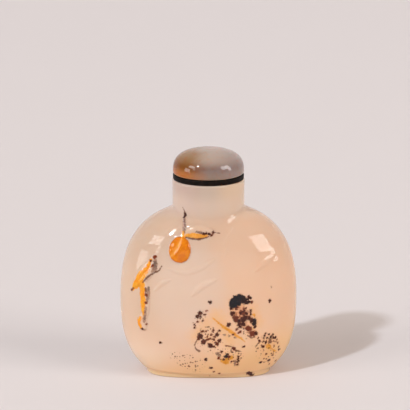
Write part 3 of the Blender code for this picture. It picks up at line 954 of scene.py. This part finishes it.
class Agate(Finish):
    """The bottle's stone: the noises that its colours share, and its colours layer by layer."""

    def __init__(self, settings):
        super().__init__("pale agate")
        self.settings = settings
        self.place = self.position()
        self.x, self.y, self.z = self.axes(self.place)
        self.broad = self.noise(self.place, 45.0, detail=2.0)
        self.cloud = self.noise(self.place, 130.0, detail=4.0, distortion=0.4)
        self.ragged = self.noise(self.place, 800.0, detail=4.0, roughness=0.7)
        self.fine = self.noise(self.place, 1900.0, roughness=0.6)
        self.wander = self.maths("SUBTRACT", self.ragged, 0.5)
        self.shiver = self.maths("SUBTRACT", self.fine, 0.5)
        self.drift = self.maths(
            "ADD", self.scaled(self.broad, 0.9, -0.45), self.scaled(self.cloud, 0.5, -0.25))
        self.slate = self.times(self.inside("slate", 0.16, 0.5, 0.5, 0.10), 0.85)

    def inside(self, name, soft, coarse, crisp, grow=0.0):
        """Share of a colour in its field, with a ragged edge; the sizes are in millimetres."""
        value = self.maths("ADD", self.field(name), grow)
        value = self.scaled(self.wander, 2.0 * coarse, value)
        value = self.scaled(self.shiver, 2.0 * crisp, value)
        return self.step(value, -soft, soft)

    def body(self):
        """Plain stone: greyer at the left, peach at the right and warmest near the foot, with
        painted shade at the left and the top, painted light at the right and a painted glow near
        the foot.
        """
        x, z, drift = self.x, self.z, self.drift
        # Painted shade and light: darker and greyer at the left, where the sun falls, and lighter
        # at the right, which evens out the lighting; the drift adds real random tone.
        across = self.scaled(drift, 0.5, self.along(x, -20.83 * MM, 20.83 * MM))
        ends = [(0.0, self.settings.left_stone_painted_shade), (1.0, self.settings.right_stone_painted_light)]
        colour = self.ramp(across, ends)
        off_x = self.off_centre(x, -6.29 * MM, 9.52 * MM)
        off_z = self.off_centre(z, 27.78 * MM, 13.89 * MM)
        off_cream = self.scaled(drift, 1.6, self.maths("ADD", off_x, off_z))
        cream = self.fall(off_cream, 0.1, 1.7)
        cream = self.times(cream, self.fall(self.y, -6.0 * MM, 0.0))
        colour = self.lay(colour, cream, self.settings.cream_colour, 0.8)
        # Painted shade: darker from 7 mm upwards and again from 25 mm, which evens out the stronger
        # light from above.
        top = self.step(self.scaled(drift, 6.0 * MM, z), 25.0 * MM, 43.0 * MM)
        colour = self.mix(top, colour, (0.87, 0.88, 0.90), blend="MULTIPLY")
        middle = self.step(z, 7.0 * MM, 23.0 * MM)
        colour = self.mix(middle, colour, (0.90, 0.92, 0.92), blend="MULTIPLY")
        left = self.fall(x, -17.0 * MM, -5.0 * MM)
        lower_left = self.times(self.fall(z, 4.0 * MM, 15.0 * MM), left)
        colour = self.lay(colour, lower_left, srgb(255, 228, 202), 0.6)
        # Painted glow: warmer and brighter towards the foot, and brightest on the foot ring, for
        # light that comes through the thin lower stone.
        low = self.fall(self.scaled(x, -0.28, z), 1.5 * MM, 13.0 * MM)
        colour = self.lay(colour, low, self.settings.foot_painted_glow_colour, 0.85)
        return self.lay(colour, self.fall(z, 1.4 * MM, 2.6 * MM), srgb(255, 206, 160), 0.9)

    def neck(self, colour):
        """Greyer stone of the neck, and a paler band of painted light at the root that it rises
        from, over the shade of the fillet.
        """
        tone = self.ramp(self.step(self.x, -9.0 * MM, 9.0 * MM), [
            (0.0, self.settings.neck_colour),
            (0.5, srgb(208, 188, 170)),
            (1.0, srgb(229, 203, 176)),
        ])
        high = self.step(self.scaled(self.drift, 2.0 * MM, self.z), 45.5 * MM, 49.5 * MM)
        colour = self.mix(high, colour, tone)
        # Painted light: paler where the neck rises from the shoulder, which hides the shade in the
        # fillet.
        off_root = self.maths("ABSOLUTE", self.maths("SUBTRACT", self.z, 49.6 * MM))
        return self.lay(colour, self.fall(off_root, 0.5 * MM, 4.6 * MM), srgb(232, 209, 190), 0.5)

    def skins(self, colour):
        """Amber ground, then the tan, ochre and slate skins, the fruit and the brown lines."""
        chosen = self.settings
        tan = self.ramp(self.ragged, [(0.36, chosen.tan_colour), (0.64, srgb(244, 176, 80))])
        ochre = self.ramp(self.ragged, [(0.36, chosen.ochre_colour), (0.64, srgb(255, 176, 40))])
        slate = self.ramp(self.ragged, [(0.38, srgb(92, 60, 46)), (0.62, srgb(182, 142, 116))])
        colour = self.lay(colour, self.inside("amber", 2.2, 1.8, 0.5), chosen.amber_colour, 0.52)
        colour = self.mix(self.inside("tan", 0.16, 0.4, 0.4, 0.08), colour, tan)
        colour = self.mix(self.inside("ochre", 0.12, 0.8, 0.5, 0.05), colour, ochre)
        colour = self.mix(self.slate, colour, slate)
        colour = self.mix(self.inside("fruit", 0.1, 0.3, 0.2), colour, self.fruit_skin())
        return self.lay(colour, self.inside("brown", 0.14, 0.3, 0.3, 0.06), srgb(104, 54, 30), 0.85)

    def fruit_skin(self):
        """Orange of the fruit, darker at its rim and paler along its cleft."""
        ends = [(0.3, self.settings.fruit_colour), (0.75, srgb(240, 148, 2))]
        tone = self.ramp(self.ragged, ends)
        tone = self.lay(tone, self.fall(self.field("fruit"), 0.1, 0.6), srgb(188, 92, 2), 0.35)
        return self.lay(tone, self.field("cleft"), srgb(255, 190, 80), 0.7)

    def blotches(self, colour):
        """Dense part of the patch, with warm ground between dark blotches."""
        tone = self.ramp(self.noise(self.place, 580.0, detail=2.0, roughness=0.45), [
            (0.40, srgb(56, 18, 12)),
            (0.46, srgb(116, 56, 36)),
            (0.51, srgb(200, 138, 98)),
            (0.58, srgb(236, 184, 142)),
        ])
        return self.mix(self.inside("mottled", 0.4, 0.9, 0.4), colour, tone)

    def spots(self, colour):
        """Dark spots, from blue-black to red-brown by their warmth, each in a soft brown halo."""
        tone = self.ramp(self.field("warmth"), [
            (0.0, srgb(14, 15, 24)),
            (0.3, srgb(34, 11, 8)),
            (0.6, srgb(74, 24, 6)),
            (1.0, srgb(124, 50, 20)),
        ])
        tone = self.lay(tone, self.step(self.fine, 0.6, 0.8), srgb(112, 56, 40), 0.6)
        halo = self.inside("dark", 0.35, 0.6, 0.4, 0.12)
        colour = self.lay(colour, halo, srgb(168, 100, 62), 0.45)
        return self.mix(self.inside("dark", 0.13, 0.45, 0.5, 0.10), colour, tone)

    def grains(self, colour):
        """Fine dark grains on the speckled grounds, and a few on the plain back."""
        flat = self.add("ShaderNodeCombineXYZ", {"X": self.x, "Y": self.z})
        sockets = {"Vector": flat.outputs["Vector"], "Scale": 1400.0, "Randomness": 1.0}
        cells = self.add("ShaderNodeTexVoronoi", sockets, voronoi_dimensions="2D")
        parts = self.add("ShaderNodeSeparateColor", {"Color": cells.outputs["Color"]})
        chance = parts.outputs["Red"]
        grain = self.maths("SUBTRACT", self.scaled(chance, 0.68, -0.26), cells.outputs["Distance"])
        grain = self.step(self.scaled(self.shiver, 0.2, grain), -0.05, 0.05)
        rare = self.times(self.step(chance, 0.955, 0.96), self.step(self.y, 7.5 * MM, 8.5 * MM))
        rare = self.times(rare, self.step(self.broad, 0.46, 0.56))
        ground = self.maths("MAXIMUM", self.step(self.field("speckled"), -0.6, 0.8), rare)
        return self.lay(colour, self.times(grain, ground), srgb(110, 56, 32), 0.8)


def agate(settings):
    """Pale translucent agate with ochre skin, dark spots and slate veins."""
    stone = Agate(settings)
    colour = stone.body()
    for layer in (stone.neck, stone.skins, stone.blotches, stone.spots, stone.grains):
        colour = layer(colour)
    polish = stone.scaled(stone.cloud, 0.02, 0.006)
    stone.shade(
        Base_Color=colour,
        Roughness=stone.scaled(stone.slate, 0.3, polish),
        IOR=1.54,
        Specular_IOR_Level=0.33,
        Subsurface_Weight=0.78,
        Subsurface_Scale=2.5 * MM,
        Subsurface_Radius=(0.75, 0.6, 0.5),
        Transmission_Weight=settings.clearness,
        Normal=stone.bump(stone.cloud, 0.02 * MM, 0.12),
    )
    stone.shader.subsurface_method = "RANDOM_WALK"
    return stone.material


def stopper_agate():
    """Banded agate of the stopper: grey-lavender with an ochre-brown side and a painted highlight
    along its lower edge.
    """
    make = Finish("banded agate")
    place = make.position()
    x, _, z = make.axes(place)
    cloud = make.noise(place, 160.0, detail=4.0, distortion=0.6)
    fine = make.noise(place, 700.0)
    rise = make.step(z, STOPPER_LOW.z, STOPPER_HIGH.z)
    grey = make.ramp(rise, [
        (0.0, srgb(146, 124, 108)),
        (0.35, srgb(128, 106, 98)),
        (1.0, srgb(180, 160, 144)),
    ])
    ochre = make.ramp(rise, [
        (0.0, srgb(178, 104, 26)),
        (0.45, srgb(126, 72, 8)),
        (1.0, srgb(152, 116, 76)),
    ])
    grey = make.lay(grey, make.step(x, 1.0 * MM, 7.5 * MM), srgb(160, 142, 136), 0.6)
    across = make.scaled(make.maths("SUBTRACT", cloud, 0.5), 6.0 * MM, x)
    colour = make.mix(make.fall(across, -6.0 * MM, 1.0 * MM), grey, ochre)
    colour = make.mix(make.step(fine, 0.5, 0.8), colour, srgb(196, 170, 156), blend="SOFT_LIGHT")
    # Painted highlight: a pale line along the rounded lower edge, just over the collar.
    rim = make.fall(z, STOPPER_LOW.z, STOPPER_LOW.z + STOPPER_EDGE)
    make.shade(
        Base_Color=make.lay(colour, rim, srgb(206, 176, 152), 0.35),
        Roughness=0.035,
        IOR=1.54,
        Subsurface_Weight=0.35,
        Subsurface_Scale=1.5 * MM,
        Transmission_Weight=0.12,
        Normal=make.bump(cloud, 0.02 * MM, 0.4),
    )
    return make.material


def horn():
    """Black horn of the collar, with faint brown streaks."""
    make = Finish("black horn")
    streaks = make.noise(make.position(), 900.0, detail=4.0)
    make.shade(
        Base_Color=make.ramp(streaks, [(0.35, srgb(9, 6, 3)), (0.75, srgb(30, 19, 11))]),
        Roughness=make.scaled(streaks, 0.2, 0.45),
        Specular_IOR_Level=0.1,
        Normal=make.bump(streaks, 0.02 * MM, 0.5),
    )
    return make.material


def cork():
    """Cork with dark pores."""
    make = Finish("cork")
    place = make.position()
    pores = make.add("ShaderNodeTexVoronoi", {"Vector": place, "Scale": 900.0})
    grain = make.noise(place, 1200.0, detail=5.0)
    tone = make.ramp(grain, [(0.3, srgb(140, 98, 58)), (0.7, srgb(196, 150, 100))])
    hole = make.fall(pores.outputs["Distance"], 0.05, 0.2)
    make.shade(
        Base_Color=make.mix(hole, tone, srgb(70, 42, 24)),
        Roughness=0.9,
        Normal=make.bump(grain, 0.08 * MM, 0.7),
    )
    return make.material


def plaster(colour):
    """Matte pale floor."""
    make = Finish("pale floor")
    cloud = make.noise(make.position(), 3.0, detail=2.0)
    brighter = tuple(min(1.0, 1.02 * channel) for channel in colour)
    make.shade(
        Base_Color=make.mix(cloud, tuple(colour), brighter),
        Roughness=0.85,
        Specular_IOR_Level=0.1,
    )
    return make.material


# Pieces turned about the neck's axis

def turned(name, profile):
    """Piece turned about the Z axis from its profile, listed from the top downwards."""
    turns = [2.0 * math.pi * step / TURNED_STEPS for step in range(TURNED_STEPS)]
    bm = bmesh.new()
    rings = [
        [bm.verts.new((radius * math.cos(turn), radius * math.sin(turn), height)) for turn in turns]
        for radius, height in profile[1:-1]
    ]
    top = bm.verts.new((0.0, 0.0, profile[0][1]))
    bottom = bm.verts.new((0.0, 0.0, profile[-1][1]))
    for index in range(TURNED_STEPS):
        after = (index + 1) % TURNED_STEPS
        for above, below in zip(rings, rings[1:]):
            bm.faces.new((above[index], below[index], below[after], above[after]))
        bm.faces.new((top, rings[0][index], rings[0][after]))
        bm.faces.new((bottom, rings[-1][after], rings[-1][index]))
    mesh = bpy.data.meshes.new(name)
    bm.to_mesh(mesh)
    bm.free()
    mesh.shade_smooth()
    return place_object(name, mesh)


def stopper_profile():
    """Dome of the stopper with a softly rounded lower edge."""
    radius = STOPPER_HIGH.x
    base = STOPPER_LOW.z + STOPPER_EDGE
    height = STOPPER_HIGH.z - base
    power = 2.0 / STOPPER_FULLNESS
    profile = []
    for turn in np.linspace(math.pi / 2.0, 0.0, 41):
        profile.append((radius * math.cos(turn) ** power, base + height * math.sin(turn) ** power))
    edge = quarter_turn((radius, base), (radius - STOPPER_EDGE, STOPPER_LOW.z), 8, upright=True)
    return profile + edge[1:] + [(0.5 * radius, STOPPER_LOW.z), (0.0, STOPPER_LOW.z)]


def collar_profile():
    """Thin disc with rounded edges, from the rim to just under the stopper."""
    low = BOTTLE_HIGH.z + COLLAR_GAP
    high = STOPPER_LOW.z - COLLAR_GAP
    radius = COLLAR_HIGH.x
    inner = radius - COLLAR_EDGE
    return [
        (0.0, high),
        (0.5 * radius, high),
        *quarter_turn((inner, high), (radius, high - COLLAR_EDGE), 6),
        *quarter_turn((radius, low + COLLAR_EDGE), (inner, low), 6, upright=True),
        (0.5 * radius, low),
        (0.0, low),
    ]


# Stage

PALE_LIGHT = (1.0, 0.96, 0.94)
LAMP_LIGHT = (0.95, 0.97, 1.0)

# Soft lights as name, (azimuth, elevation, distance), (width, height), brightness as a share of
# the windows setting, and colour, in degrees and metres
SOFT_LIGHTS = (
    ("right window", (62.0, 29.0, 2.5), (1.15, 0.95), 1.0, PALE_LIGHT),
    ("right screen", (74.0, 14.0, 2.5), (0.50, 0.60), 0.9, PALE_LIGHT),
    ("left window", (-62.0, 32.0, 2.5), (0.90, 0.55), 0.95, PALE_LIGHT),
    ("left screen", (-73.0, 9.0, 2.5), (0.90, 0.75), 0.65, PALE_LIGHT),
    ("left gap", (-49.0, 21.0, 2.5), (0.20, 0.55), 0.6, PALE_LIGHT),
    ("front fill", (6.0, 9.0, 2.6), (3.2, 1.0), 0.11, PALE_LIGHT),
    ("lamp", (-44.5, 49.0, 2.5), (0.22, 0.13), 4.0, LAMP_LIGHT),
)


def aim(obj, target):
    """Turns an object's -Z axis towards a point."""
    obj.rotation_euler = (Vector(target) - obj.location).to_track_quat("-Z", "Y").to_euler()


def direction(azimuth, elevation):
    """Unit vector from the object towards a place, azimuth 0 in front and 90 to the right."""
    a, e = math.radians(azimuth), math.radians(elevation)
    return Vector((math.sin(a) * math.cos(e), -math.cos(a) * math.cos(e), math.sin(e)))


def soft_light(name, place, size, radiance, colour):
    """Rectangular light that faces the bottle, as bright as its radiance over all its area."""
    azimuth, elevation, distance = place
    width, height = size
    lamp = bpy.data.lights.new(name, "AREA")
    lamp.shape = "RECTANGLE"
    lamp.size = width
    lamp.size_y = height
    lamp.energy = radiance * math.pi * width * height
    lamp.color = colour
    obj = place_object(name, lamp)
    obj.location = direction(azimuth, elevation) * distance
    aim(obj, (0.0, 0.0, 0.03))


def sunlight(strength):
    """Small hard light from the upper left, which throws the shadow."""
    lamp = bpy.data.lights.new("sun", "SUN")
    lamp.energy = strength
    lamp.angle = math.radians(3.5)
    lamp.color = (0.80, 0.88, 1.0)
    obj = place_object("sun", lamp)
    obj.location = direction(-44.0, 43.0)
    aim(obj, (0.0, 0.0, 0.0))


def soft_sky(strength):
    """Even warm light from all round."""
    world = bpy.data.worlds.new("soft sky")
    world.use_nodes = True
    backdrop = world.node_tree.nodes["Background"]
    backdrop.inputs["Color"].default_value = (1.0, 0.86, 0.78, 1.0)
    backdrop.inputs["Strength"].default_value = strength
    bpy.context.scene.world = world


def sweep(colour):
    """Floor that curves up into a wall far behind the bottle."""
    front, back, half, rise, bend = -3.0, 1.6, 4.0, 2.5, 0.8
    curve = quarter_turn((back - bend, 0.0), (back, bend), 12)
    profile = [(front, 0.0), *curve, (back, rise)]
    vertices = [(side * half, y, z) for y, z in profile for side in (-1.0, 1.0)]
    faces = [(2 * i, 2 * i + 1, 2 * i + 3, 2 * i + 2) for i in range(len(profile) - 1)]
    obj = place_mesh("pale_floor", vertices, faces)
    obj.data.materials.append(plaster(colour))


def make_camera():
    """Camera at the photograph's place, a little above the bottle's shoulder."""
    frame_size = 410.0
    focal_length = 2555.0
    centre_column = 208.45
    distance, height = 0.700, 0.223
    downward_tilt = 14.03
    camera = bpy.data.cameras.new("camera")
    camera.lens = focal_length / frame_size * camera.sensor_width
    camera.shift_x = (frame_size / 2.0 - centre_column) / frame_size
    camera.clip_start = 0.01
    obj = place_object("camera", camera)
    obj.location = (0.0, -distance, height)
    obj.rotation_euler = (math.radians(90.0 - downward_tilt), 0.0, 0.0)
    bpy.context.scene.camera = obj


# Settings that a user would change

class StoneSettings(PropertyGroup):
    """Colours and clearness of the bottle's stone, with painted shade, light and glow in some of
    its colours.
    """

    # The left colour holds painted shade and the right colour painted light, over the stone's own
    # tone.
    left_stone_painted_shade: FloatVectorProperty(
        name="Left", description="Stone on the left", subtype="COLOR",
        default=srgb(238, 205, 177), min=0.0, max=1.0)
    right_stone_painted_light: FloatVectorProperty(
        name="Right", description="Stone on the right", subtype="COLOR",
        default=srgb(255, 213, 180), min=0.0, max=1.0)
    cream_colour: FloatVectorProperty(
        name="Cream", description="Palest part of the stone, left of the middle", subtype="COLOR",
        default=srgb(244, 216, 194), min=0.0, max=1.0)
    # Colour of the painted glow near the foot, where light comes through the stone.
    foot_painted_glow_colour: FloatVectorProperty(
        name="Base", description="Stone near the foot", subtype="COLOR",
        default=srgb(255, 202, 146), min=0.0, max=1.0)
    neck_colour: FloatVectorProperty(
        name="Neck", description="Greyer stone on the left of the neck", subtype="COLOR",
        default=srgb(206, 182, 167), min=0.0, max=1.0)
    amber_colour: FloatVectorProperty(
        name="Amber", description="Warm ground round the dark spots", subtype="COLOR",
        default=srgb(250, 192, 124), min=0.0, max=1.0)
    ochre_colour: FloatVectorProperty(
        name="Ochre", description="Skin kept for the side leaves", subtype="COLOR",
        default=srgb(250, 152, 16), min=0.0, max=1.0)
    tan_colour: FloatVectorProperty(
        name="Tan", description="Duller skin of the twig and of the leaf by the fruit",
        subtype="COLOR", default=srgb(222, 150, 36), min=0.0, max=1.0)
    fruit_colour: FloatVectorProperty(
        name="Fruit", description="Orange of the fruit", subtype="COLOR",
        default=srgb(214, 118, 0), min=0.0, max=1.0)
    clearness: FloatProperty(
        name="Clearness", description="Share of light that passes straight through",
        default=0.18, min=0.0, max=1.0, subtype="FACTOR")
    relief: FloatProperty(
        name="Relief", description="Height of the coloured relief, as a share of the solid's",
        default=1.0, min=0.0, max=1.2, subtype="FACTOR")


class StageSettings(PropertyGroup):
    """Floor, sky and lights."""

    floor_colour: FloatVectorProperty(
        name="Floor", description="Colour of the floor", subtype="COLOR",
        default=(0.694, 0.656, 0.640), min=0.0, max=1.0)
    sky: FloatProperty(
        name="Sky", description="Strength of the even light from all round",
        default=0.475, min=0.0)
    sun: FloatProperty(
        name="Sun", description="Strength of the small hard light", default=1.49, min=0.0)
    windows: FloatProperty(
        name="Windows", description="Brightness of the large soft lights", default=5.9, min=0.0)


class SNUFF_OT_bottle(Operator):
    """Makes the agate bottle and puts it in the solid's place"""

    bl_idname = "snuff.bottle"
    bl_label = "Agate Bottle"

    def execute(self, context):
        settings = context.scene.snuff_stone
        obj = bottle_mesh(settings.relief)
        obj.data.materials.append(agate(settings))
        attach(obj, "root")
        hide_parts("bottle")
        return {"FINISHED"}


class SNUFF_OT_collar(Operator):
    """Makes the black horn collar"""

    bl_idname = "snuff.collar"
    bl_label = "Horn Collar"

    def execute(self, context):
        obj = turned("horn_collar", collar_profile())
        obj.data.materials.append(horn())
        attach(obj, "root")
        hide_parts("collar")
        return {"FINISHED"}


class SNUFF_OT_stopper(Operator):
    """Makes the domed agate stopper"""

    bl_idname = "snuff.stopper"
    bl_label = "Agate Stopper"

    def execute(self, context):
        obj = turned("agate_stopper", stopper_profile())
        obj.data.materials.append(stopper_agate())
        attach(obj, "root")
        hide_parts("stopper")
        return {"FINISHED"}


class SNUFF_OT_cork(Operator):
    """Gives the cork its finish"""

    bl_idname = "snuff.cork"
    bl_label = "Cork"

    def execute(self, context):
        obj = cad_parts["cork"]
        obj.data.materials.clear()
        obj.data.materials.append(cork())
        return {"FINISHED"}


class SNUFF_OT_stage(Operator):
    """Makes the floor, the lights and the camera"""

    bl_idname = "snuff.stage"
    bl_label = "Stage"

    def execute(self, context):
        settings = context.scene.snuff_stage
        sweep(settings.floor_colour)
        soft_sky(settings.sky)
        sunlight(settings.sun)
        for name, place, size, share, colour in SOFT_LIGHTS:
            soft_light(name, place, size, share * settings.windows, colour)
        make_camera()
        context.scene.view_settings.view_transform = "Standard"
        return {"FINISHED"}


class SNUFF_PT_panel(Panel):
    """Lists the steps that dress the bottle"""

    bl_idname = "SNUFF_PT_panel"
    bl_label = "Snuff Bottle"
    bl_space_type = "VIEW_3D"
    bl_region_type = "UI"
    bl_category = "Snuff Bottle"

    def draw(self, context):
        for operator in OPERATORS:
            self.layout.operator(operator.bl_idname)
        for settings in (context.scene.snuff_stone, context.scene.snuff_stage):
            for name in settings.bl_rna.properties.keys():
                if name not in {"rna_type", "name"}:
                    self.layout.prop(settings, name)


OPERATORS = (SNUFF_OT_bottle, SNUFF_OT_collar, SNUFF_OT_stopper, SNUFF_OT_cork, SNUFF_OT_stage)
CLASSES = (StoneSettings, StageSettings, *OPERATORS, SNUFF_PT_panel)


def register():
    """Adds the classes and their settings to Blender."""
    for cls in CLASSES:
        bpy.utils.register_class(cls)
    bpy.types.Scene.snuff_stone = PointerProperty(type=StoneSettings)
    bpy.types.Scene.snuff_stage = PointerProperty(type=StageSettings)


def unregister():
    """Takes the classes and their settings out of Blender."""
    del bpy.types.Scene.snuff_stage
    del bpy.types.Scene.snuff_stone
    for cls in reversed(CLASSES):
        bpy.utils.unregister_class(cls)


def main():
    """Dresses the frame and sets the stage."""
    register()
    bpy.ops.snuff.bottle()
    bpy.ops.snuff.collar()
    bpy.ops.snuff.stopper()
    bpy.ops.snuff.cork()
    bpy.ops.snuff.stage()


if __name__ == "__main__":
    main()
